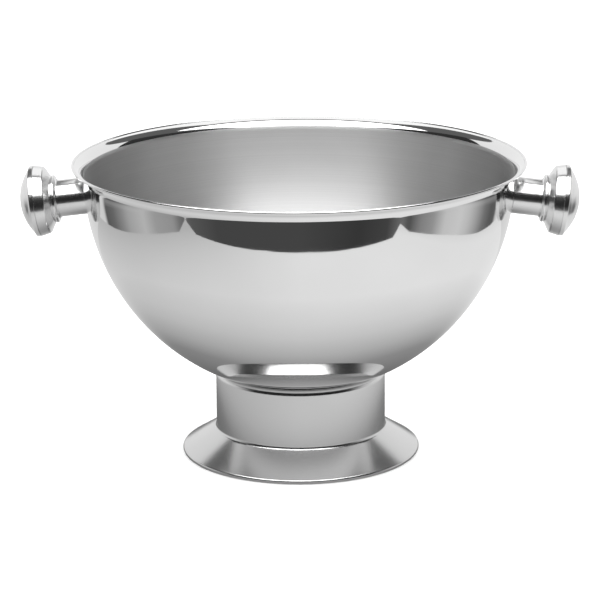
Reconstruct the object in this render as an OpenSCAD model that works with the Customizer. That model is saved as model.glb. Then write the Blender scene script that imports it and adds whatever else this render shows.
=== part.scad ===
// Footed champagne bowl of polished sheet steel: a spun bowl with a trumpet lip, bolted to a spun
// pedestal, with a hollow knob handle screwed to each side.
// +Z is up, +X runs out through one handle, and the origin is the middle of the foot's underside.

/* [Bowl] */
// Height of the lip above the floor
overall_h = 245; // [225:1:300]
// Outside radius of the oval that the belly follows, at its widest
bowl_r = 175.4; // [145:0.2:210]
// Height of that oval, from its lowest point to its widest
bowl_drop = 181.5; // [150:0.5:200]
// How far the wall still leans out where the lip begins, in degrees
wall_lean = 1; // [0:0.5:4]
// Radius of the knuckle that turns the belly into the flat bottom
knuckle_r = 75; // [60:1:90]
// Slope at which the belly passes into the knuckle, in degrees
knuckle_angle = 30; // [26:1:32]
// Thickness of the bowl's sheet
bowl_t = 1; // [0.8:0.1:1.4]
// Radius of the curve that turns the wall out into the lip
lip_flare_r = 10; // [8:0.5:14]
// How far the lip is turned out from upright, in degrees
lip_angle = 80; // [60:1:85]
// Radius of the rolled bead along the lip's edge
lip_bead_r = 1.2; // [0.9:0.1:1.8]

/* [Pedestal] */
// Outside radius of the stem
stem_r = 70; // [59:0.25:85]
// Radius of the rounded shoulder that the bowl sits on
shoulder_r = 5; // [3.5:0.5:7]
// How far the seat reaches in under the bowl from the stem
seat_w = 13; // [10:1:18]
// Outside radius of the foot
foot_r = 98.1; // [90:0.1:120]
// Slope of the foot's flange, in degrees below level
flange_angle = 31.5; // [25:0.5:40]
// Radius of the hollow curve between the stem and the flange
foot_fillet_r = 4; // [2.5:0.5:6]
// Outside radius of the hem rolled round the foot
hem_r = 2.1; // [1.6:0.1:3]
// Width of the flat ring that rests on the floor
rest_w = 3.5; // [2.5:0.5:6]
// Thickness of the pedestal's sheet
pedestal_t = 1; // [0.8:0.1:1.2]

/* [Base fixing] */
// Thickness of the pan that bridges the stem
pan_t = 1.5; // [1:0.1:2.5]
// Depth of the pan's turned-down rim
pan_rim_h = 12; // [8:1:18]
// Inside radius of the bend between the pan's floor and its rim
pan_bend_r = 2.5; // [1.5:0.5:4]
// Gap that the nut pulls against, between the stud plate and the pan
draw_gap = 2.2; // [1:0.1:4]
// Radius of the stud plate welded under the bowl
stud_plate_r = 30; // [22:1:33]
// Thickness of the stud plate
stud_plate_t = 2.5; // [1.5:0.1:4]
// Radius of the stud
stud_r = 4; // [3:0.1:5]
// Length of stud below the nut
stud_tail = 6; // [3:1:10]
// Radius of the base washer
base_washer_r = 11; // [9:0.5:14]
// Thickness of the base washer
base_washer_t = 1.6; // [1:0.1:2.5]
// Width of the base nut across its flats
base_nut_w = 13; // [11:0.5:17]
// Height of the base nut
base_nut_h = 6.5; // [5:0.5:8]

/* [Handle tubes] */
// How far below the lip each handle's axis meets the wall
handle_below = 29.5; // [28:0.5:60]
// Outside radius of the handle tube
tube_r = 15.2; // [12:0.1:18.5]
// Wall of the handle tube
tube_t = 1; // [0.8:0.1:1.6]
// Length of tube that shows between the bowl and the knob
tube_show = 21.8; // [18:0.1:34]
// Length of tube inside the knob's collar
tube_grip = 3; // [2:0.5:4]

/* [Knobs] */
// Thickness of the knob's sheet
knob_t = 0.8; // [0.6:0.1:1]
// Radius of the hollow curve between the collar and its bead
collar_cove_r = 1.5; // [1.4:0.1:1.7]
// Radius of the bead round the collar
bead_r = 1.8; // [1.7:0.1:2.2]
// How far the bead's middle lies behind the collar's edge
bead_back = 3.2; // [3:0.1:3.4]
// How far the bead's crown stands above the tube
bead_rise = 4.4; // [4:0.1:4.8]
// How far the groove behind the bead lies above the tube
groove_rise = 3.7; // [3.4:0.1:4]
// Radius of the hollow curve at the foot of the flare
cove_r = 1.5; // [1.2:0.1:2]
// How far that curve's middle lies behind the bead's middle
cove_back = 0.76; // [0.5:0.01:1]
// Slope of the flare, in degrees from the handle's axis
flare_angle = 60; // [56:1:64]
// Radius of the round edge between the flare and the band
flare_edge_r = 2.5; // [1:0.1:4]
// Length of the tapered band, from the flare to the seam
back_band = 7.8; // [6.5:0.1:9.4]
// Taper of that band, in degrees from the handle's axis
band_taper = 12; // [5:0.5:18]
// Radius of the knob at its seam
knob_r = 29; // [24:0.1:35]
// Length of the back half, from where the tube stops showing to the seam
knob_back_l = 17.5; // [16:0.1:24]
// Width of the seam between the two halves
seam_w = 0.3; // [0.15:0.05:0.5]
// Length of the straight band on the cap
cap_band = 3.8; // [2.5:0.1:5]
// Radius of the cap's round edge
cap_edge_r = 0.9; // [0.5:0.1:1.5]
// Width and rise of the sloping step between the cap's edge and its dome
cap_step_w = 3.7; // [2:0.1:5]
cap_step_h = 1.7; // [0.5:0.1:3]
// Height of the cap's dome
dome_h = 8.7; // [6:0.1:14]
// Length of the cap's spigot inside the back half, and the width of the ledge that carries it
spigot_l = 2; // [1:0.1:3]
spigot_ledge = 1.6; // [1:0.1:2]

/* [Handle screws] */
// Radius of the screw's shank
screw_r = 3; // [2:0.1:3.6]
// Radius of the screw's head
screw_head_r = 5.6; // [5:0.1:7]
// Height of the screw's head
screw_head_h = 3.2; // [2.5:0.1:4.5]
// Width of the socket in the head, and its depth
socket_w = 4; // [3:0.5:5]
socket_d = 2; // [1:0.1:2.2]
// Length of screw inside the insert
thread_l = 11; // [8:0.5:13]
// Radius of the steel washer and of the seal under it
screw_washer_r = 8; // [7:0.5:10]
// Thickness of the steel washer
screw_washer_t = 1.2; // [0.8:0.1:2]
// Thickness of the seal
seal_t = 1.5; // [1:0.1:2.5]
// Thickness of the insert's flange
insert_flange_t = 2; // [1.5:0.1:3]
// Radius of the insert's boss
insert_boss_r = 6.5; // [5:0.1:8]
// Length of the insert's boss beyond its flange
insert_boss_l = 11; // [9:0.5:13]

/* [Hidden] */

// Clearances: a loose hole round a screw, a sliding fit, a thread, and two pieces clamped together.
hole_gap = 0.25;
slip_gap = 0.1;
thread_gap = 0.05;
touch_gap = 0.02;

// Steps round an arc and up the belly, the sides of a turned piece, of the belly where something is
// cut to it, and of a hexagon, and the length by which a cut runs past what it cuts.
arc_steps = 8;
belly_steps = 26;
$fn = 96;
fine_sides = 360;
hexagon = 6;
past = 1;

// Colours.
mirror_steel = [0.80, 0.81, 0.82];
plain_steel = [0.66, 0.67, 0.68];
plated_steel = [0.60, 0.61, 0.60];
silicone = [0.86, 0.87, 0.86];

// ---- Curves ----

// Points on an arc about c, from angle a to angle b.
function arc(c, r, a, b, n = arc_steps) =
    [for (i = [0:n]) c + r * [cos(a + (b - a) * i / n), sin(a + (b - a) * i / n)]];

// The unit normal to the left of the way from a to b.
function left_of(a, b) = let (d = (b - a) / norm(b - a)) [-d[1], d[0]];

// The mitred normal to the left of a path, at its point i.
function mitre(p, i) =
    let (before = left_of(p[max(i - 1, 0)], p[max(i, 1)]),
         after = left_of(p[min(i, len(p) - 2)], p[min(i + 1, len(p) - 1)]))
    (before + after) / (1 + before * after);

// A path moved to its left by d.
function moved_left(p, d) = [for (i = [0:len(p) - 1]) p[i] + d * mitre(p, i)];

function reversed(p) = [for (i = [len(p) - 1:-1:0]) p[i]];

// The outline of a sheet of thickness t that lies to the left of a path.
function sheet(p, t) = concat(p, reversed(moved_left(p, t)));

// Where two circles cross, to the left of the way from a to b.
function crossing(a, ra, b, rb) =
    let (d = norm(b - a),
         along = (ra * ra - rb * rb + d * d) / (2 * d))
    a + along * (b - a) / d + sqrt(ra * ra - along * along) * left_of(a, b);

// ---- Bowl ----

// The lip's curve starts at the wall's lean and ends at the lip's angle. The bead's crown is the top
// of the whole piece, so the lip is measured down from there.
function lip_normal(angle) = [-cos(angle), sin(angle)];
belly_end_a = atan2(bowl_r, bowl_drop * tan(wall_lean));
belly_end_z = overall_h - lip_bead_r - bowl_t / 2 * sin(lip_angle)
              - lip_flare_r * (sin(lip_angle) - sin(wall_lean));
belly_mid_z = belly_end_z + bowl_drop * cos(belly_end_a);
lip_centre = [bowl_r * sin(belly_end_a), belly_end_z] - lip_flare_r * lip_normal(wall_lean);
lip_end = lip_centre + lip_flare_r * lip_normal(lip_angle);
bead_centre = lip_end + bowl_t / 2 * lip_normal(lip_angle);

// The outside radius of the belly at a height.
function belly_r(z) = bowl_r * sqrt(1 - pow((belly_mid_z - z) / bowl_drop, 2));

// The knuckle is tangent to the belly where the belly has the knuckle's angle, and to the flat pad.
belly_start_a = atan(tan(knuckle_angle) * bowl_r / bowl_drop);
belly_start = [bowl_r * sin(belly_start_a), belly_mid_z - bowl_drop * cos(belly_start_a)];
knuckle_centre = belly_start + knuckle_r * [-sin(knuckle_angle), cos(knuckle_angle)];
pad_r = knuckle_centre[0];
pad_z = knuckle_centre[1] - knuckle_r;

// The outside height and slope of the knuckle at a radius, or of the flat pad inside it.
function knuckle_slope(r) = asin(max(r - pad_r, 0) / knuckle_r);
function knuckle_z(r) = knuckle_centre[1] - knuckle_r * cos(knuckle_slope(r));

// The outside of the sheet, from the pad's rim to the end of the belly and on to the lip's edge.
knuckle = arc(knuckle_centre, knuckle_r, -90, knuckle_angle - 90);
belly = [for (i = [0:belly_steps])
             let (a = belly_start_a + (belly_end_a - belly_start_a) * i / belly_steps)
             [bowl_r * sin(a), belly_mid_z - bowl_drop * cos(a)]];
lip = arc(lip_centre, lip_flare_r, 180 - wall_lean, 180 - lip_angle);
wall_path = concat([for (i = [0:arc_steps - 1]) knuckle[i]], belly);
bowl_path = concat(wall_path, [for (i = [1:arc_steps]) lip[i]]);

// All that lies inside the bowl's outer face, up to the lip's edge, with that face moved in.
module belly_body(moved_in) {
    face = moved_left(concat([[0, pad_z]], bowl_path), moved_in);
    rotate_extrude($fn = fine_sides)
        polygon(concat([[0, face[len(face) - 1][1]], [0, face[0][1]]],
                       [for (i = [1:len(face) - 1]) face[i]]));
}

// ---- Handle positions ----

// Each handle stands square to the wall, so it droops as much as the wall leans in below the lip.
handle_z = overall_h - handle_below;
handle_x = belly_r(handle_z);
handle_droop = atan((belly_mid_z - handle_z) * pow(bowl_r / bowl_drop, 2) / handle_x);

// Puts its children on a handle's axis: their +Z runs outwards from the wall's outer face.
module on_handle(side) {
    rotate([0, 0, side == "right" ? 0 : 180])
        translate([handle_x, 0, handle_z])
            rotate([0, 90 + handle_droop, 0])
                children();
}

// A disc or ring on the handle's axis or the base's axis, from height z0 to z1.
module ring(z0, z1, outer, inner = 0) {
    translate([0, 0, z0])
        difference() {
            cylinder(h = z1 - z0, r = outer);
            if (inner > 0)
                translate([0, 0, -past])
                    cylinder(h = z1 - z0 + 2 * past, r = inner);
        }
}

module bowl_shell() {
    color(mirror_steel)
        difference() {
            union() {
                rotate_extrude()
                    polygon(sheet(concat([[0, pad_z]], bowl_path), bowl_t));
                rotate_extrude()
                    translate(bead_centre)
                        circle(r = lip_bead_r, $fn = 32);
            }
            for (side = ["left", "right"])
                on_handle(side)
                    ring(-bowl_t - seal_t, past, screw_r + hole_gap);
        }
}

// ---- Pedestal ----

// The foot is a hem, a sloping flange and a hollow fillet up into the stem.
hem_centre = [foot_r - hem_r, hem_r];
flange_start = hem_centre + hem_r * [sin(flange_angle), cos(flange_angle)];
foot_fillet_x = stem_r + foot_fillet_r;
foot_fillet_z = flange_start[1]
    + (foot_fillet_r - (foot_fillet_x - flange_start[0]) * sin(flange_angle)) / cos(flange_angle);

// The seat is a cone that touches the knuckle along one circle, halfway across its own width.
shoulder_x = stem_r - shoulder_r;
touch_r = stem_r - (seat_w + shoulder_r) / 2;
seat_slope = knuckle_slope(touch_r);
function seat_z(r) = knuckle_z(touch_r) + (r - touch_r) * tan(seat_slope) - touch_gap / cos(seat_slope);
shoulder_top_r = shoulder_x - shoulder_r * sin(seat_slope);
shoulder_z = seat_z(shoulder_top_r) - shoulder_r * cos(seat_slope);
seat_in_r = stem_r - seat_w;

// The outside of the sheet, from the resting ring's inner edge up to the seat's inner edge.
pedestal_path = concat(
    [[foot_r - hem_r - rest_w, 0]],
    arc(hem_centre, hem_r, -90, 90 - flange_angle),
    arc([foot_fillet_x, foot_fillet_z], foot_fillet_r, 270 - flange_angle, 180),
    arc([shoulder_x, shoulder_z], shoulder_r, 0, 90 + seat_slope),
    [[seat_in_r, seat_z(seat_in_r)]]);

module pedestal_shell() {
    color(mirror_steel)
        rotate_extrude()
            polygon(sheet(pedestal_path, pedestal_t));
}

// ---- Base fixing ----

stud_plate_z = pad_z - touch_gap - stud_plate_t;
pan_z = stud_plate_z - draw_gap;
base_washer_z = pan_z - pan_t - touch_gap - base_washer_t;
base_nut_z = base_washer_z - touch_gap - base_nut_h;
pan_r = stem_r - pedestal_t - touch_gap;
pan_corner_r = pan_bend_r + pan_t;
pan_path = concat(
    [[pan_r, pan_z - pan_rim_h]],
    arc([pan_r - pan_corner_r, pan_z - pan_corner_r], pan_corner_r, 0, 90),
    [[stud_r + hole_gap, pan_z]]);

module stud_plate() {
    color(plain_steel)
        ring(stud_plate_z, stud_plate_z + stud_plate_t, stud_plate_r);
}

// The stud is welded to the plate. Its end is chamfered.
module base_stud() {
    stud_end = base_nut_z - stud_tail;
    chamfer = stud_r / 5;
    color(plain_steel)
        rotate_extrude()
            polygon([[0, stud_end], [stud_r - chamfer, stud_end], [stud_r, stud_end + chamfer],
                     [stud_r, stud_plate_z - touch_gap], [0, stud_plate_z - touch_gap]]);
}

module pedestal_pan() {
    color(plain_steel)
        rotate_extrude()
            polygon(sheet(pan_path, pan_t));
}

module base_washer() {
    color(plated_steel)
        ring(base_washer_z, base_washer_z + base_washer_t, base_washer_r, stud_r + hole_gap);
}

// A hexagon nut whose corners are turned off at both faces.
module base_nut() {
    corner_r = base_nut_w / 2 / cos(180 / hexagon);
    face_r = base_nut_w / 2;
    color(plated_steel)
        translate([0, 0, base_nut_z])
            difference() {
                intersection() {
                    cylinder(h = base_nut_h, r = corner_r, $fn = hexagon);
                    rotate_extrude()
                        polygon([[0, 0], [face_r, 0], [corner_r, (corner_r - face_r) / 2],
                                 [corner_r, base_nut_h - (corner_r - face_r) / 2],
                                 [face_r, base_nut_h], [0, base_nut_h]]);
                }
                ring(-past, base_nut_h + past, stud_r + thread_gap);
            }
}

// ---- Handles ----

// The tube's inner end is cut to the belly and the lip. Its outer end stands inside the knob's collar.
module handle_tube(side) {
    saddle = tube_r * tube_r / bowl_r;
    color(mirror_steel)
        difference() {
            on_handle(side)
                ring(-saddle, tube_end, tube_r, tube_r - tube_t);
            belly_body(-touch_gap);
        }
}

// Points of the knob are [distance along the handle's axis, radius].
collar_r = tube_r + slip_gap + knob_t;
seam_l = tube_show + knob_back_l;

// The flare's line and the band's line meet here. The edge and the cove are tangent to them.
flare_top = [seam_l - back_band, knob_r - back_band * tan(band_taper)];
edge_back = flare_edge_r * tan((flare_angle - band_taper) / 2);
edge_at = flare_top + edge_back * [cos(band_taper), sin(band_taper)]
          + flare_edge_r * [sin(band_taper), -cos(band_taper)];
cove_z = tube_r + groove_rise + cove_r;
cove_l = flare_top[0] + ((cove_z - flare_top[1]) * cos(flare_angle) - cove_r) / sin(flare_angle);
cove_at = [cove_l, cove_z];

// The bead and the collar keep their distance from the cove, and the tube ends inside them. Where the
// flare is so short that the collar's edge would lie beyond the tube that shows, a sleeve reaches back.
bead_at = [cove_l - cove_back, tube_r + bead_rise - bead_r];
collar_l = bead_at[0] - bead_back;
collar_cove_at = [collar_l, collar_r + collar_cove_r];
sleeve = collar_l > tube_show + touch_gap ? [[tube_show, collar_r]] : [];
tube_end = collar_l + tube_grip;

// The bead runs from where it crosses the collar's cove to where it crosses the flare's.
bead_start = crossing(bead_at, bead_r, collar_cove_at, collar_cove_r);
bead_end = crossing(cove_at, cove_r, bead_at, bead_r);
function bearing(a, p) = atan2(p[1] - a[1], p[0] - a[0]);
function inner_points(p) = [for (i = [1:len(p) - 2]) p[i]];

// The outside of the back half, from the collar to the seam.
knob_back_path = concat(
    sleeve,
    arc(collar_cove_at, collar_cove_r, -90, bearing(collar_cove_at, bead_start)),
    inner_points(arc(bead_at, bead_r, 360 + bearing(bead_at, bead_start), bearing(bead_at, bead_end))),
    arc(cove_at, cove_r, bearing(cove_at, bead_end), flare_angle - 90),
    arc(edge_at, flare_edge_r, 90 + flare_angle, 90 + band_taper),
    [[seam_l, knob_r]]);

// The outside of the cap, from the seam to the tip.
cap_l = seam_l + seam_w;
cap_edge_at = [cap_l + cap_band - cap_edge_r, knob_r - cap_edge_r];
step_slope = atan(cap_step_h / cap_step_w);
dome_base_r = knob_r - cap_step_w;
dome_base_l = cap_l + cap_band + cap_step_h;
dome_r = (dome_base_r * dome_base_r + dome_h * dome_h) / (2 * dome_h);
knob_cap_path = concat(
    [[cap_l, knob_r]],
    arc(cap_edge_at, cap_edge_r, 90, step_slope),
    arc([dome_base_l + dome_h - dome_r, 0], dome_r, asin(dome_base_r / dome_r), 0, 2 * arc_steps));

// A sheet on the handle's axis: its outline turned from [along, radius] to [radius, along].
module turned_sheet(p, t) {
    rotate_extrude()
        polygon([for (q = sheet(reversed(p), t)) [max(q[1], 0), q[0]]]);
}

module knob_back(side) {
    color(mirror_steel)
        on_handle(side)
            turned_sheet(knob_back_path, knob_t);
}

// The cap has a spigot that centres it in the back half.
module knob_cap(side) {
    spigot_r = knob_r - knob_t - spigot_l * tan(band_taper) - slip_gap;
    color(mirror_steel)
        on_handle(side)
            union() {
                turned_sheet(knob_cap_path, knob_t);
                ring(cap_l, cap_l + spigot_ledge, knob_r - knob_t / 2, spigot_r - knob_t);
                ring(seam_l - spigot_l, cap_l + spigot_ledge, spigot_r, spigot_r - knob_t);
            }
}

// The insert's flange is welded into the knob's throat, against the end of the tube.
insert_l = tube_end + touch_gap;

module knob_insert(side) {
    throat_r = tube_r + groove_rise - knob_t - slip_gap;
    color(plain_steel)
        on_handle(side)
            difference() {
                union() {
                    ring(insert_l, insert_l + insert_flange_t, throat_r);
                    ring(insert_l, insert_l + insert_flange_t + insert_boss_l, insert_boss_r);
                }
                ring(insert_l - past, insert_l + insert_flange_t + insert_boss_l + past,
                     screw_r + thread_gap);
            }
}

// Inside the bowl, a seal, a washer and the screw's head stack up against the wall.
seal_l = -bowl_t - seal_t;
screw_washer_l = seal_l - touch_gap - screw_washer_t;
screw_head_l = screw_washer_l - touch_gap;

// The screw's domed head has a hexagon socket, and its end is chamfered.
module handle_screw(side) {
    screw_end = insert_l + thread_l;
    chamfer = screw_r / 5;
    head_dome_r = (screw_head_r * screw_head_r + screw_head_h * screw_head_h) / (2 * screw_head_h);
    dome_centre = [0, screw_head_l - screw_head_h + head_dome_r];
    head = arc(dome_centre, head_dome_r, 270, 270 + asin(screw_head_r / head_dome_r));
    color(plain_steel)
        on_handle(side)
            difference() {
                rotate_extrude()
                    polygon(concat(head, [[screw_r, screw_head_l], [screw_r, screw_end - chamfer],
                                          [screw_r - chamfer, screw_end], [0, screw_end]]));
                translate([0, 0, screw_head_l - screw_head_h - past])
                    cylinder(h = socket_d + past, r = socket_w / 2 / cos(180 / hexagon), $fn = hexagon);
            }
}

module screw_washer(side) {
    color(plain_steel)
        on_handle(side)
            ring(screw_washer_l, screw_washer_l + screw_washer_t, screw_washer_r, screw_r + hole_gap);
}

// The seal is squeezed to the curve of the wall.
module screw_seal(side) {
    color(silicone)
        intersection() {
            on_handle(side)
                ring(seal_l, 0, screw_washer_r, screw_r + hole_gap);
            belly_body(bowl_t + touch_gap);
        }
}

bowl_shell();
stud_plate();
base_stud();
pedestal_shell();
pedestal_pan();
base_washer();
base_nut();
handle_tube("left");  // left_handle_tube
knob_back("left");  // left_knob_back
knob_cap("left");  // left_knob_cap
knob_insert("left");  // left_knob_insert
handle_screw("left");  // left_handle_screw
screw_washer("left");  // left_screw_washer
screw_seal("left");  // left_screw_seal
handle_tube("right");  // right_handle_tube
knob_back("right");  // right_knob_back
knob_cap("right");  // right_knob_cap
knob_insert("right");  // right_knob_insert
handle_screw("right");  // right_handle_screw
screw_washer("right");  // right_screw_washer
screw_seal("right");  // right_screw_seal
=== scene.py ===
# Champagne bowl of polished sheet steel, bolted to a turned pedestal, with a hollow knob handle on each side.
# All sizes are in metres. +Z is up, +X runs out through one handle, and the foot stands at height 0.

import math

import bmesh
import bpy
from mathutils import Matrix, Vector


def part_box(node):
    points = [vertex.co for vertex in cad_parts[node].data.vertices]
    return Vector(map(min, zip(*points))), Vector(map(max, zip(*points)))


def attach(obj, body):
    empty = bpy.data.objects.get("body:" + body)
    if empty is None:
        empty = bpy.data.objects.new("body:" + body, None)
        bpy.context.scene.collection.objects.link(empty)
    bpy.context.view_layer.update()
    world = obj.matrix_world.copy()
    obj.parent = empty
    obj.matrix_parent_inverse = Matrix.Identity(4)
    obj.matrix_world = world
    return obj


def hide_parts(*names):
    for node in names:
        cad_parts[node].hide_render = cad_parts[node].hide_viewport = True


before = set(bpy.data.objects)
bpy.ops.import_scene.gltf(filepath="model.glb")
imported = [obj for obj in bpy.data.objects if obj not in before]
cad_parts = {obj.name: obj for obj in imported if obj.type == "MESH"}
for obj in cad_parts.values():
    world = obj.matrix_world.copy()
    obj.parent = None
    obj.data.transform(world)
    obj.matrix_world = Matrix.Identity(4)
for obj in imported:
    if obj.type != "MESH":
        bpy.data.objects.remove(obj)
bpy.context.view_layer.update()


# ---- Camera ----
# The camera stands in front of the bowl, a little to the right of it and well above the lip, and looks
# down at the belly through a long lens, so that the lip shows as a flat oval with the inside behind it.

camera_distance = 2.134
camera_height = 0.709
camera_turn = math.radians(1.4)
camera_dip = math.radians(15.26)
camera_roll = math.radians(-0.4)

facing = Matrix.Rotation(camera_turn, 4, "Z")
camera_data = bpy.data.cameras.new("camera")
camera_data.lens = 161.2
camera_data.sensor_width = 36
camera_data.clip_end = 40
camera = bpy.data.objects.new("camera", camera_data)
camera.matrix_world = (facing
                       @ Matrix.Translation((0, -camera_distance, camera_height))
                       @ Matrix.Rotation(math.pi / 2 - camera_dip, 4, "X")
                       @ Matrix.Rotation(camera_roll, 4, "Z"))
bpy.context.scene.collection.objects.link(camera)
bpy.context.scene.camera = camera
bpy.context.scene.view_settings.view_transform = "Standard"


# ---- Studio ----
# A pale floor under soft white light. Polished steel shows nothing but the room round it, so the room
# is here too: a white table, a dark hall in front, a wide overhead lamp and a pale backdrop behind.

def mesh_object(name, vertices, faces):
    mesh = bpy.data.meshes.new(name)
    mesh.from_pydata(vertices, [], faces)
    piece = bpy.data.objects.new(name, mesh)
    bpy.context.scene.collection.objects.link(piece)
    return piece


def new_nodes(name):
    finish = bpy.data.materials.new(name)
    finish.use_nodes = True
    finish.node_tree.nodes.clear()
    return finish, finish.node_tree.nodes, finish.node_tree.links


def linear(grey):
    """The light that a screen grey from 0 to 255 stands for."""
    return (grey / 255) ** 2.2


def ramp_of_light(nodes, stops):
    """A colour ramp from a list of (position, screen grey)."""
    ramp = nodes.new("ShaderNodeValToRGB")
    while len(ramp.color_ramp.elements) < len(stops):
        ramp.color_ramp.elements.new(0.5)
    for element, (position, grey) in zip(ramp.color_ramp.elements, stops):
        element.position = position
        element.color = (linear(grey), linear(grey), linear(grey), 1)
    return ramp


def span(nodes, links, value, low, high):
    """A number turned into its share of the way from low to high."""
    share = nodes.new("ShaderNodeMapRange")
    share.inputs["From Min"].default_value = low
    share.inputs["From Max"].default_value = high
    links.new(value, share.inputs["Value"])
    return share.outputs["Result"]


def glow(nodes, links, colour, strength):
    lamp = nodes.new("ShaderNodeEmission")
    lamp.inputs["Strength"].default_value = strength
    links.new(colour, lamp.inputs["Color"])
    links.new(lamp.outputs["Emission"], nodes.new("ShaderNodeOutputMaterial").inputs["Surface"])


def reflected_only(piece, finish):
    """Sets up a card of the room: the steel reflects it, and nothing else sees it."""
    piece.matrix_world = facing
    piece.data.materials.append(finish)
    piece.visible_camera = False
    piece.visible_diffuse = False
    piece.visible_shadow = False
    piece.visible_transmission = False


# Steel gives back about this share of the light, so the cards are brighter by it.
steel_share = 0.84

floor_finish, nodes, links = new_nodes("pale_floor")
paint = nodes.new("ShaderNodeBsdfDiffuse")
paint.inputs["Color"].default_value = (0.93, 0.93, 0.93, 1)
links.new(paint.outputs["BSDF"], nodes.new("ShaderNodeOutputMaterial").inputs["Surface"])
floor_half = 14
floor = mesh_object("floor",
                    [(-floor_half, -floor_half, 0), (floor_half, -floor_half, 0),
                     (floor_half, floor_half, 0), (-floor_half, floor_half, 0)], [(0, 1, 2, 3)])
floor.data.materials.append(floor_finish)
floor.visible_glossy = False

# The table: a glowing card with painted light and a painted shadow. It is lighter to the right, and darker
# where the bowl would keep the lamp from it. Its front edge is bowed, and its two front corners run out to a
# point.
table_finish, nodes, links = new_nodes("table_top")
place = nodes.new("ShaderNodeTexCoord")
parts = nodes.new("ShaderNodeSeparateXYZ")
links.new(place.outputs["Object"], parts.inputs["Vector"])
# Painted light: the card grows lighter towards the right, where more of the lamp's light falls.
across = ramp_of_light(nodes, [(0.0, 172), (0.28, 200), (0.5, 218), (0.72, 220), (0.9, 218), (1.0, 205)])
links.new(span(nodes, links, parts.outputs["X"], -0.65, 0.65), across.inputs["Fac"])
# Painted shadow of the bowl: the card's glow grows dimmer towards the foot.
painted_shadow_centre = nodes.new("ShaderNodeMapping")
painted_shadow_centre.inputs["Location"].default_value = (0, -0.08, 0)
links.new(place.outputs["Object"], painted_shadow_centre.inputs["Vector"])
reach = nodes.new("ShaderNodeVectorMath")
reach.operation = "LENGTH"
links.new(painted_shadow_centre.outputs["Vector"], reach.inputs[0])
painted_bowl_shadow = ramp_of_light(nodes, [(0.0, 100), (0.35, 155), (0.48, 196), (0.62, 224), (0.74, 238), (1.0, 255)])
links.new(span(nodes, links, reach.outputs["Value"], 0.05, 0.36), painted_bowl_shadow.inputs["Fac"])
both = nodes.new("ShaderNodeMix")
both.data_type = "RGBA"
both.blend_type = "MULTIPLY"
both.inputs["Factor"].default_value = 1
links.new(across.outputs["Color"], both.inputs["A"])
links.new(painted_bowl_shadow.outputs["Color"], both.inputs["B"])
glow(nodes, links, both.outputs["Result"], 1 / steel_share)
table_outline = [(-0.63, 0.43), (-0.635, -0.10), (-0.62, -0.37), (-0.82, -0.54), (-0.54, -0.455),
                 (-0.35, -0.495), (-0.15, -0.535), (0.04, -0.54), (0.22, -0.515), (0.46, -0.47),
                 (0.66, -0.575), (0.575, -0.43), (0.60, -0.15), (0.59, 0.10), (0.62, 0.43)]
table = mesh_object("table_top", [(x, y, -0.0005) for x, y in table_outline], [range(len(table_outline))])
reflected_only(table, table_finish)

# The room's walls: a drum whose greys change with the direction from the bowl. Below the height of the
# bowl they are the hall's furnishings, and above it the dark hall in front and pale screens elsewhere.
room_r = 1.9
room_z = (-0.9, 1.4)
low_greys = [(-180, 215), (-124, 198), (-121, 86), (-113, 100), (-105, 130), (-99, 155), (-87, 173),
             (-79, 148), (-67, 140), (-63, 110), (-56, 84), (-42, 68), (0, 68), (30, 56), (45, 66), (53, 104),
             (57, 76), (64, 124), (72, 142), (80, 186), (91, 194), (98, 180), (104, 156), (112, 110),
             (119, 86), (124, 88), (127, 198), (180, 215)]
high_greys = [(-180, 228), (-118, 222), (-95, 200), (-80, 150), (-66, 42), (0, 34), (66, 42), (80, 150),
              (95, 200), (118, 222), (180, 228)]
room_finish, nodes, links = new_nodes("room_walls")
place = nodes.new("ShaderNodeTexCoord")
from_front = nodes.new("ShaderNodeMapping")
from_front.inputs["Rotation"].default_value = (0, 0, math.pi / 2)
links.new(place.outputs["Object"], from_front.inputs["Vector"])
round_about = nodes.new("ShaderNodeTexGradient")
round_about.gradient_type = "RADIAL"
links.new(from_front.outputs["Vector"], round_about.inputs["Vector"])
low = ramp_of_light(nodes, [(turn / 360 + 0.5, grey) for turn, grey in low_greys])
links.new(round_about.outputs["Fac"], low.inputs["Fac"])
high = ramp_of_light(nodes, [(turn / 360 + 0.5, grey) for turn, grey in high_greys])
links.new(round_about.outputs["Fac"], high.inputs["Fac"])
parts = nodes.new("ShaderNodeSeparateXYZ")
links.new(place.outputs["Object"], parts.inputs["Vector"])
walls_grey = nodes.new("ShaderNodeMix")
walls_grey.data_type = "RGBA"
links.new(span(nodes, links, parts.outputs["Z"], -0.28, 0.0), walls_grey.inputs["Factor"])
links.new(low.outputs["Color"], walls_grey.inputs["A"])
links.new(high.outputs["Color"], walls_grey.inputs["B"])
glow(nodes, links, walls_grey.outputs["Result"], 1 / steel_share)
room_sides = 96
ring = [(room_r * math.cos(2 * math.pi * i / room_sides), room_r * math.sin(2 * math.pi * i / room_sides))
        for i in range(room_sides)]
walls = mesh_object("room_walls", [(x, y, z) for z in room_z for x, y in ring],
                    [(i, (i + 1) % room_sides, (i + 1) % room_sides + room_sides, i + room_sides)
                     for i in range(room_sides)])
reflected_only(walls, room_finish)


def plain_glow(name, grey):
    finish, nodes, links = new_nodes(name)
    lamp = nodes.new("ShaderNodeEmission")
    lamp.inputs["Color"].default_value = (1, 1, 1, 1)
    lamp.inputs["Strength"].default_value = linear(grey) / steel_share
    links.new(lamp.outputs["Emission"], nodes.new("ShaderNodeOutputMaterial").inputs["Surface"])
    return finish


def plain_card(name, x, y, z, grey):
    corners = [(x[0], y[0], z), (x[1], y[0], z), (x[1], y[1], z), (x[0], y[1], z)]
    finish = plain_glow(name, grey)
    reflected_only(mesh_object(name, corners, [(0, 1, 2, 3)]), finish)


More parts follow.
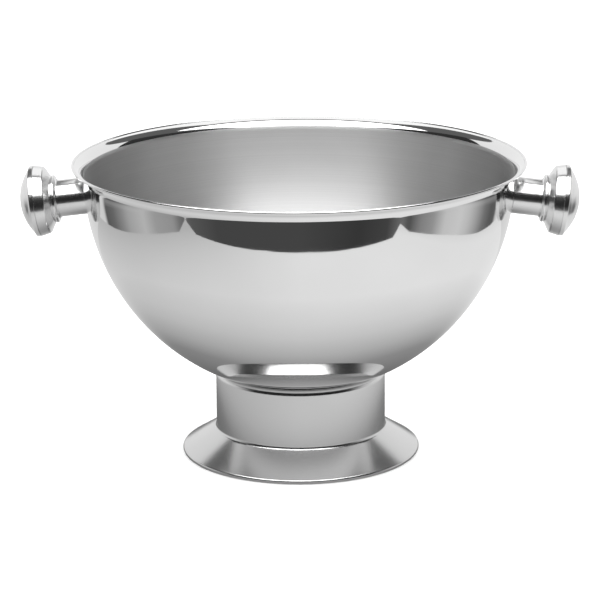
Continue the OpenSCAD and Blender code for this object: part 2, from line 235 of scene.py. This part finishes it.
# The room's floor, the wide lamp overhead, the dark frame behind it, the pale backdrop beyond, and the
# grey ceiling a little above them.
ceiling_z = room_z[1]
above_lamp_z = 1.401
plain_card("room_floor", (-room_r, room_r), (-room_r, room_r), room_z[0], 110)
plain_card("overhead_lamp", (-1.30, 1.05), (-1.85, 0.08), ceiling_z, 405)
plain_card("lamp_frame", (-1.30, 1.05), (0.08, 0.30), ceiling_z, 90)
plain_card("backdrop_top", (-0.42, 0.42), (0.30, room_r), ceiling_z, 248)
plain_card("ceiling_right", (0.42, room_r), (-room_r, room_r), above_lamp_z, 90)
plain_card("ceiling_left", (-room_r, -0.42), (-room_r, room_r), above_lamp_z, 90)

# Two dark screens hang high at the sides.
for side, x in (("left", -1.4), ("right", 1.4)):
    screen_finish = plain_glow(side + "_screen", 50)
    corners = [(x, -1.0, 0.62), (x, 0.9, 0.62), (x, 0.9, ceiling_z), (x, -1.0, ceiling_z)]
    reflected_only(mesh_object(side + "_screen", corners, [(0, 1, 2, 3)]), screen_finish)

world = bpy.data.worlds.new("soft_white_light")
bpy.context.scene.world = world
world.use_nodes = True
sky = world.node_tree.nodes["Background"]
sky.inputs["Color"].default_value = (1, 1, 1, 1)
sky.inputs["Strength"].default_value = 2.2


# ---- Bowl ----
# The bowl is spun from one disc of 1 mm stainless steel. The belly comes down to a flat bottom through a
# rounder knuckle, and the wall turns out into a trumpet lip whose edge is rolled into a bead.
# It is mirror polished outside and over the lip. Inside it keeps the satin lines of the turning.

sheet = 0.001
oval_r = 0.1754
oval_drop = 0.1815
wall_lean = math.radians(1)
knuckle_r = 0.075
knuckle_angle = math.radians(30)
lip_r = 0.010
lip_angle = math.radians(80)
bead_r = 0.0012
lip_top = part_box("bowl_shell")[1].z


def arc(centre, radius, start, end, steps):
    return [Vector((centre[0] + radius * math.cos(start + (end - start) * i / steps),
                    centre[1] + radius * math.sin(start + (end - start) * i / steps)))
            for i in range(steps + 1)]


def left_of(direction):
    return Vector((-direction.y, direction.x))


def moved_left(path, distance):
    """The path moved to its left, mitred at its corners."""
    moved = []
    for i, point in enumerate(path):
        before = path[max(i, 1)] - path[max(i - 1, 0)]
        after = path[min(i + 1, len(path) - 1)] - path[min(i, len(path) - 2)]
        a = left_of(before.normalized())
        b = left_of(after.normalized())
        moved.append(point + distance * (a + b) / (1 + a.dot(b)))
    return moved


def turned(name, stretches, finishes, sides=288):
    """A turned piece. Its outline is a closed loop of stretches, each (points, number of its finish)."""
    outline = []
    finish_of = []
    for points, number in stretches:
        for point in points:
            if not outline or (point - outline[-1]).length > 1e-7:
                outline.append(point)
                finish_of.append(number)
    vertices = []
    ring_at = []
    for point in outline:
        on_axis = point.x < 1e-7
        ring_at.append((len(vertices), on_axis))
        if on_axis:
            vertices.append((0, 0, point.y))
            continue
        for i in range(sides):
            angle = 2 * math.pi * i / sides
            vertices.append((point.x * math.cos(angle), point.x * math.sin(angle), point.y))
    faces = []
    face_finish = []
    for k in range(len(outline)):
        (a, a_axis), (b, b_axis) = ring_at[k], ring_at[(k + 1) % len(outline)]
        if a_axis and b_axis:
            continue
        for i in range(sides):
            j = (i + 1) % sides
            if a_axis:
                faces.append((a, b + j, b + i))
            elif b_axis:
                faces.append((a + i, a + j, b))
            else:
                faces.append((a + i, a + j, b + j, b + i))
            face_finish.append(finish_of[(k + 1) % len(outline)])
    piece = mesh_object(name, vertices, faces)
    for finish in finishes:
        piece.data.materials.append(finish)
    piece.data.polygons.foreach_set("material_index", face_finish)
    smooth_off(piece)
    return piece


def smooth_off(piece):
    """Faces outwards and smooth, with an edge left crisp where two faces meet at a corner."""
    shape = bmesh.new()
    shape.from_mesh(piece.data)
    bmesh.ops.recalc_face_normals(shape, faces=shape.faces)
    shape.to_mesh(piece.data)
    shape.free()
    piece.data.polygons.foreach_set("use_smooth", [True] * len(piece.data.polygons))
    piece.data.set_sharp_from_angle(angle=math.radians(35))


def mirror_steel(name, colour, dull, clean, scuff):
    """Polished steel: faint clouds in the shine, hairlines left by the wheel, and a trace of ripple."""
    finish, nodes, links = new_nodes(name)
    steel = nodes.new("ShaderNodeBsdfPrincipled")
    steel.inputs["Metallic"].default_value = 1
    place = nodes.new("ShaderNodeTexCoord")
    clouds = nodes.new("ShaderNodeTexNoise")
    clouds.inputs["Scale"].default_value = 14
    clouds.inputs["Detail"].default_value = 4
    links.new(place.outputs["Object"], clouds.inputs["Vector"])
    shine = nodes.new("ShaderNodeMapRange")
    shine.inputs["From Min"].default_value = 0.3
    shine.inputs["From Max"].default_value = 0.7
    shine.inputs["To Min"].default_value = clean
    shine.inputs["To Max"].default_value = dull
    links.new(clouds.outputs["Fac"], shine.inputs["Value"])
    links.new(shine.outputs["Result"], steel.inputs["Roughness"])
    tint = nodes.new("ShaderNodeValToRGB")
    tint.color_ramp.elements[0].position = 0.3
    tint.color_ramp.elements[0].color = (colour[0] * 0.97, colour[1] * 0.97, colour[2] * 0.97, 1)
    tint.color_ramp.elements[1].position = 0.7
    tint.color_ramp.elements[1].color = (*colour, 1)
    links.new(clouds.outputs["Fac"], tint.inputs["Fac"])
    links.new(tint.outputs["Color"], steel.inputs["Base Color"])
    squeeze = nodes.new("ShaderNodeMapping")
    squeeze.inputs["Scale"].default_value = (6, 6, 420)
    links.new(place.outputs["Object"], squeeze.inputs["Vector"])
    hairlines = nodes.new("ShaderNodeTexNoise")
    hairlines.inputs["Scale"].default_value = 3
    hairlines.inputs["Detail"].default_value = 5
    links.new(squeeze.outputs["Vector"], hairlines.inputs["Vector"])
    relief = nodes.new("ShaderNodeBump")
    relief.inputs["Strength"].default_value = scuff
    relief.inputs["Distance"].default_value = 0.0001
    links.new(hairlines.outputs["Fac"], relief.inputs["Height"])
    links.new(relief.outputs["Normal"], steel.inputs["Normal"])
    links.new(steel.outputs["BSDF"], nodes.new("ShaderNodeOutputMaterial").inputs["Surface"])
    return finish


def satin_steel(name, colour, rough, along):
    """Steel with the fine lines of turning round its axis. The shine spreads across the lines."""
    finish, nodes, links = new_nodes(name)
    steel = nodes.new("ShaderNodeBsdfPrincipled")
    steel.inputs["Metallic"].default_value = 1
    steel.inputs["Anisotropic"].default_value = along
    steel.inputs["Anisotropic Rotation"].default_value = 0.25
    round_axis = nodes.new("ShaderNodeTangent")
    round_axis.direction_type = "RADIAL"
    round_axis.axis = "Z"
    links.new(round_axis.outputs["Tangent"], steel.inputs["Tangent"])
    place = nodes.new("ShaderNodeTexCoord")
    parts = nodes.new("ShaderNodeSeparateXYZ")
    links.new(place.outputs["Object"], parts.inputs["Vector"])
    flat = nodes.new("ShaderNodeCombineXYZ")
    links.new(parts.outputs["X"], flat.inputs["X"])
    links.new(parts.outputs["Y"], flat.inputs["Y"])
    out = nodes.new("ShaderNodeVectorMath")
    out.operation = "LENGTH"
    links.new(flat.outputs["Vector"], out.inputs[0])
    line_place = nodes.new("ShaderNodeCombineXYZ")
    links.new(out.outputs["Value"], line_place.inputs["X"])
    links.new(parts.outputs["Z"], line_place.inputs["Z"])
    lines = nodes.new("ShaderNodeTexNoise")
    lines.inputs["Scale"].default_value = 900
    lines.inputs["Detail"].default_value = 3
    links.new(line_place.outputs["Vector"], lines.inputs["Vector"])
    clouds = nodes.new("ShaderNodeTexNoise")
    clouds.inputs["Scale"].default_value = 11
    clouds.inputs["Detail"].default_value = 3
    links.new(place.outputs["Object"], clouds.inputs["Vector"])
    tint = nodes.new("ShaderNodeValToRGB")
    tint.color_ramp.elements[0].position = 0.3
    tint.color_ramp.elements[0].color = (colour[0] * 0.93, colour[1] * 0.93, colour[2] * 0.93, 1)
    tint.color_ramp.elements[1].position = 0.7
    tint.color_ramp.elements[1].color = (*colour, 1)
    links.new(lines.outputs["Fac"], tint.inputs["Fac"])
    links.new(tint.outputs["Color"], steel.inputs["Base Color"])
    shine = nodes.new("ShaderNodeMapRange")
    shine.inputs["From Min"].default_value = 0.3
    shine.inputs["From Max"].default_value = 0.7
    shine.inputs["To Min"].default_value = rough * 0.9
    shine.inputs["To Max"].default_value = rough * 1.1
    links.new(clouds.outputs["Fac"], shine.inputs["Value"])
    links.new(shine.outputs["Result"], steel.inputs["Roughness"])
    relief = nodes.new("ShaderNodeBump")
    relief.inputs["Strength"].default_value = 0.15
    relief.inputs["Distance"].default_value = 0.00005
    links.new(lines.outputs["Fac"], relief.inputs["Height"])
    links.new(relief.outputs["Normal"], steel.inputs["Normal"])
    links.new(steel.outputs["BSDF"], nodes.new("ShaderNodeOutputMaterial").inputs["Surface"])
    return finish


def lip_normal(angle):
    return Vector((-math.cos(angle), math.sin(angle)))


# The wall meets the lip where it leans out by the wall's lean, and the bead's crown is the top of it all.
wall_end_turn = math.atan2(oval_r, oval_drop * math.tan(wall_lean))
wall_top = (lip_top - bead_r - sheet / 2 * math.sin(lip_angle)
            - lip_r * (math.sin(lip_angle) - math.sin(wall_lean)))
oval_mid = wall_top + oval_drop * math.cos(wall_end_turn)


def belly_point(turn):
    return Vector((oval_r * math.sin(turn), oval_mid - oval_drop * math.cos(turn)))


def belly_r(height):
    return oval_r * math.sqrt(1 - ((oval_mid - height) / oval_drop) ** 2)


belly_start_turn = math.atan(math.tan(knuckle_angle) * oval_r / oval_drop)
knuckle_centre = (belly_point(belly_start_turn)
                  + knuckle_r * Vector((-math.sin(knuckle_angle), math.cos(knuckle_angle))))
lip_centre = belly_point(wall_end_turn) - lip_r * lip_normal(wall_lean)
bottom = [Vector((0, knuckle_centre.y - knuckle_r))]
knuckle = arc(knuckle_centre, knuckle_r, -math.pi / 2, knuckle_angle - math.pi / 2, 24)
belly_steps = 110
belly = [belly_point(belly_start_turn + (wall_end_turn - belly_start_turn) * i / belly_steps)
         for i in range(1, belly_steps + 1)]
lip = arc(lip_centre, lip_r, math.pi - wall_lean, math.pi - lip_angle, 28)[1:]
outside = bottom + knuckle + belly + lip
inside = moved_left(outside, sheet)
satin_over_lip = 5
polished = len(lip) - satin_over_lip
bead_centre = lip[-1] + sheet / 2 * lip_normal(lip_angle)
bead_open = math.asin(sheet / 2 / bead_r)
bead_back = 1.5 * math.pi - lip_angle
bead = arc(bead_centre, bead_r, bead_back + bead_open, bead_back + 2 * math.pi - bead_open, 20)
bright_steel = mirror_steel("bright_steel", (0.86, 0.86, 0.86), 0.06, 0.03, 0.03)
satin_inside = satin_steel("satin_inside", (0.59, 0.59, 0.59), 0.40, 0.85)
bowl = turned("bowl",
              [(outside[:-1], 0), (bead, 0), (inside[-2:-polished:-1], 0), (inside[-polished::-1], 1)],
              [bright_steel, satin_inside])
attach(bowl, "root")
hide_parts("bowl_shell")


# ---- Pedestal ----
# The pedestal is a second spinning: an upright stem with a rounded shoulder that the bowl sits on, and a
# sloping foot whose edge is rolled under into a hem. It is polished outside and left satin inside.

stem_r = 0.070
shoulder_r = 0.005
seat_width = 0.013
foot_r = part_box("pedestal_shell")[1].x
flange_angle = math.radians(31.5)
foot_fillet_r = 0.004
hem_r = 0.0021
rest_width = 0.0035
clearance = 0.00002

hem_centre = Vector((foot_r - hem_r, hem_r))
flange_start = hem_centre + hem_r * Vector((math.sin(flange_angle), math.cos(flange_angle)))
fillet_x = stem_r + foot_fillet_r
fillet_z = flange_start.y + (foot_fillet_r - (fillet_x - flange_start.x) * math.sin(flange_angle)) \
    / math.cos(flange_angle)
touch_r = stem_r - (seat_width + shoulder_r) / 2
seat_slope = math.asin((touch_r - knuckle_centre.x) / knuckle_r)
touch_z = knuckle_centre.y - knuckle_r * math.cos(seat_slope) - clearance / math.cos(seat_slope)


def seat_point(radius):
    return Vector((radius, touch_z + (radius - touch_r) * math.tan(seat_slope)))


shoulder_top = seat_point(stem_r - shoulder_r - shoulder_r * math.sin(seat_slope))
shoulder_centre = Vector((stem_r - shoulder_r, shoulder_top.y - shoulder_r * math.cos(seat_slope)))
pedestal_outside = ([Vector((foot_r - hem_r - rest_width, 0))]
                    + arc(hem_centre, hem_r, -math.pi / 2, math.pi / 2 - flange_angle, 20)
                    + arc((fillet_x, fillet_z), foot_fillet_r, 1.5 * math.pi - flange_angle, math.pi, 16)
                    + arc(shoulder_centre, shoulder_r, 0, math.pi / 2 + seat_slope, 24)
                    + [seat_point(stem_r - seat_width)])
pedestal_inside = moved_left(pedestal_outside, sheet)
foot_steel = mirror_steel("foot_steel", (0.70, 0.70, 0.70), 0.22, 0.17, 0.03)
satin_under = satin_steel("satin_under", (0.66, 0.66, 0.65), 0.34, 0.6)
pedestal = turned("pedestal", [(pedestal_outside, 0), (pedestal_inside[::-1], 1)], [foot_steel, satin_under])
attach(pedestal, "root")
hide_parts("pedestal_shell")


# ---- Handle tubes ----
# Each handle begins with a short length of polished tube that stands square to the wall. Its inner end is
# cut to the curve of the belly and drawn up against it by the screw.

handle_below = 0.0295
tube_r = 0.0152
tube_wall = 0.001
tube_shows = 0.0218
tube_grip = 0.003
joint_gap = 0.00015
end_round = 0.0003
handle_z = lip_top - handle_below
handle_x = belly_r(handle_z)
droop = math.atan((oval_mid - handle_z) * (oval_r / oval_drop) ** 2 / handle_x)
to_handle = {"right": (Matrix.Translation((handle_x, 0, handle_z))
                       @ Matrix.Rotation(math.pi / 2 + droop, 4, "Y"))}
to_handle["left"] = Matrix.Rotation(math.pi, 4, "Z") @ to_handle["right"]


def wall_at(radius, angle):
    """How far along the handle the belly's face lies, on a line at this radius and angle."""
    low = -0.02
    high = 0.02
    for _ in range(40):
        middle = (low + high) / 2
        point = to_handle["right"] @ Vector((radius * math.cos(angle), radius * math.sin(angle), middle))
        if math.hypot(point.x, point.y) < belly_r(point.z):
            low = middle
        else:
            high = middle
    return low


def handle_tube(side):
    sides = 144
    inner_r = tube_r - tube_wall
    tube_end = tube_shows + tube_grip
    vertices = []
    for i in range(sides):
        angle = 2 * math.pi * i / sides
        outer_cut = wall_at(tube_r, angle) + joint_gap
        inner_cut = wall_at(inner_r, angle) + joint_gap
        profile = ([(tube_r - end_round * (1 - math.sin(t)), outer_cut + end_round * (1 - math.cos(t)))
                    for t in (0, math.pi / 8, math.pi / 4, 3 * math.pi / 8, math.pi / 2)]
                   + [(tube_r, tube_end), (inner_r, tube_end), (inner_r, inner_cut)])
        vertices += [(r * math.cos(angle), r * math.sin(angle), z) for r, z in profile]
    n = len(vertices) // sides
    faces = [(i * n + k, i * n + (k + 1) % n, (i + 1) % sides * n + (k + 1) % n, (i + 1) % sides * n + k)
             for i in range(sides) for k in range(n)]
    tube = mesh_object(side + "_tube", vertices, faces)
    tube.data.materials.append(handle_steel)
    smooth_off(tube)
    tube.matrix_world = to_handle[side]
    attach(tube, "root")
    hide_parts(side + "_handle_tube")


handle_steel = mirror_steel("handle_steel", (0.82, 0.82, 0.82), 0.22, 0.17, 0.03)
for side in ("left", "right"):
    handle_tube(side)


# ---- Knobs ----
# Each knob is two thin polished spinnings: a back with a beaded collar that slips over the tube, and a
# domed cap whose spigot centres it in the back. A fine seam shows where they meet.

knob_sheet = 0.0008
collar_r = tube_r + 0.0001 + knob_sheet
collar_cove_r = 0.0015
collar_bead_r = 0.0018
collar_bead_back = 0.0032
collar_bead_rise = 0.0044
groove_rise = 0.0037
flare_cove_r = 0.0015
flare_angle = math.radians(60)
flare_edge_r = 0.0025
back_band = 0.0078
band_taper = math.radians(12)
knob_r = 0.029
back_length = 0.0175
seam = 0.0003
seam_chamfer = 0.0002
cap_band = 0.0038
cap_edge_r = 0.0009
cap_step = Vector((0.0037, 0.0017))
dome_height = 0.0087
spigot_length = 0.002
spigot_ledge = 0.0016
seam_at = tube_shows + back_length


def crossing(a, a_radius, b, b_radius):
    """Where two circles cross, to the left of the way from a to b."""
    between = b - a
    along = (a_radius ** 2 - b_radius ** 2 + between.length_squared) / (2 * between.length)
    aside = math.sqrt(a_radius ** 2 - along ** 2)
    return a + along * between.normalized() + aside * left_of(between.normalized())


def bearing(a, b):
    return math.atan2(b.y - a.y, b.x - a.x)


# Points here are (distance along the handle, radius).
collar_cove_at = Vector((tube_shows, collar_r + collar_cove_r))
collar_bead_at = Vector((tube_shows + collar_bead_back, tube_r + collar_bead_rise - collar_bead_r))
flare_top = Vector((seam_at - back_band, knob_r - back_band * math.tan(band_taper)))
edge_back = flare_edge_r * math.tan((flare_angle - band_taper) / 2)
edge_at = (flare_top + edge_back * Vector((math.cos(band_taper), math.sin(band_taper)))
           + flare_edge_r * Vector((math.sin(band_taper), -math.cos(band_taper))))
flare_cove_rise = tube_r + groove_rise + flare_cove_r
flare_cove_at = Vector((flare_top.x + ((flare_cove_rise - flare_top.y) * math.cos(flare_angle) - flare_cove_r)
                        / math.sin(flare_angle), flare_cove_rise))
bead_start = crossing(collar_bead_at, collar_bead_r, collar_cove_at, collar_cove_r)
bead_end = crossing(flare_cove_at, flare_cove_r, collar_bead_at, collar_bead_r)
back_outside = (arc(collar_cove_at, collar_cove_r, -math.pi / 2, bearing(collar_cove_at, bead_start), 12)
                + arc(collar_bead_at, collar_bead_r, 2 * math.pi + bearing(collar_bead_at, bead_start),
                      bearing(collar_bead_at, bead_end), 20)[1:-1]
                + arc(flare_cove_at, flare_cove_r, bearing(flare_cove_at, bead_end),
                      flare_angle - math.pi / 2, 14)
                + arc(edge_at, flare_edge_r, math.pi / 2 + flare_angle, math.pi / 2 + band_taper, 16)
                + [Vector((seam_at - seam_chamfer, knob_r - seam_chamfer * math.tan(band_taper))),
                   Vector((seam_at, knob_r - seam_chamfer))])

cap_at = seam_at + seam
cap_edge_at = Vector((cap_at + cap_band - cap_edge_r, knob_r - cap_edge_r))
step_slope = math.atan(cap_step.y / cap_step.x)
dome_base_r = knob_r - cap_step.x
dome_base_at = cap_at + cap_band + cap_step.y
dome_r = (dome_base_r ** 2 + dome_height ** 2) / (2 * dome_height)
cap_start = [Vector((cap_at, knob_r - seam_chamfer)), Vector((cap_at + seam_chamfer, knob_r))]
cap_edge_steps = 14
cap_edge_end = len(cap_start) + cap_edge_steps
cap_outside = (cap_start
               + arc(cap_edge_at, cap_edge_r, math.pi / 2, step_slope, cap_edge_steps)
               + arc((dome_base_at + dome_height - dome_r, 0), dome_r,
                     math.asin(dome_base_r / dome_r), 0, 48))
spigot_r = knob_r - knob_sheet - spigot_length * math.tan(band_taper) - 0.0001


def on_axis(points):
    """Points of (distance, radius) turned into points of (radius, height)."""
    return [Vector((max(p.y, 0), p.x)) for p in points]


def knob_part(node, side, stretches):
    """A part of the knob, named after the CAD part it replaces."""
    part = turned(node, stretches, [handle_steel], 192)
    part.matrix_world = to_handle[side]
    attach(part, "root")
    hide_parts(node)


# Inside, the cap's sheet ends where its rounded edge ends. From there the spigot takes over.
back_inside = moved_left(back_outside, -knob_sheet)
cap_inside = moved_left(cap_outside, -knob_sheet)[cap_edge_end:]
cap_rim = [Vector((cap_at + spigot_ledge, spigot_r - knob_sheet)),
           Vector((seam_at - spigot_length, spigot_r - knob_sheet)),
           Vector((seam_at - spigot_length, spigot_r)),
           Vector((cap_at, spigot_r))]
for side in ("left", "right"):
    knob_part(side + "_knob_back", side,
              [(on_axis(back_outside), 0), (on_axis(back_inside[::-1]), 0)])
    knob_part(side + "_knob_cap", side,
              [(on_axis(cap_outside), 0), (on_axis(cap_inside[::-1]), 0), (on_axis(cap_rim), 0)])


# ---- Fixings ----
# A screw runs from inside the bowl through a seal and a washer into the insert welded in each knob, and a
# stud, washer and nut draw the bowl down on to the pedestal. They are plain turned and plated steel.

bare_steel = satin_steel("bare_steel", (0.62, 0.62, 0.61), 0.38, 0.4)
screw_finish = satin_steel("turned_steel", (0.70, 0.70, 0.69), 0.25, 0.5)
zinc_plate = satin_steel("zinc_plate", (0.58, 0.60, 0.60), 0.35, 0.2)

seal_finish, nodes, links = new_nodes("milky_silicone")
rubber = nodes.new("ShaderNodeBsdfPrincipled")
rubber.inputs["Roughness"].default_value = 0.45
rubber.inputs["Subsurface Weight"].default_value = 0.2
place = nodes.new("ShaderNodeTexCoord")
speckle = nodes.new("ShaderNodeTexNoise")
speckle.inputs["Scale"].default_value = 300
links.new(place.outputs["Object"], speckle.inputs["Vector"])
milk = nodes.new("ShaderNodeValToRGB")
milk.color_ramp.elements[0].color = (0.66, 0.68, 0.67, 1)
milk.color_ramp.elements[1].color = (0.80, 0.81, 0.80, 1)
links.new(speckle.outputs["Fac"], milk.inputs["Fac"])
links.new(milk.outputs["Color"], rubber.inputs["Base Color"])
links.new(rubber.outputs["BSDF"], nodes.new("ShaderNodeOutputMaterial").inputs["Surface"])

finish_of_node = {"stud_plate": bare_steel, "base_stud": bare_steel, "pedestal_pan": bare_steel,
                  "base_washer": zinc_plate, "base_nut": zinc_plate}
for side in ("left", "right"):
    finish_of_node[side + "_knob_insert"] = bare_steel
    finish_of_node[side + "_handle_screw"] = screw_finish
    finish_of_node[side + "_screw_washer"] = screw_finish
    finish_of_node[side + "_screw_seal"] = seal_finish
for node, finish in finish_of_node.items():
    cad_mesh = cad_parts[node].data
    cad_mesh.materials.clear()
    cad_mesh.materials.append(finish)
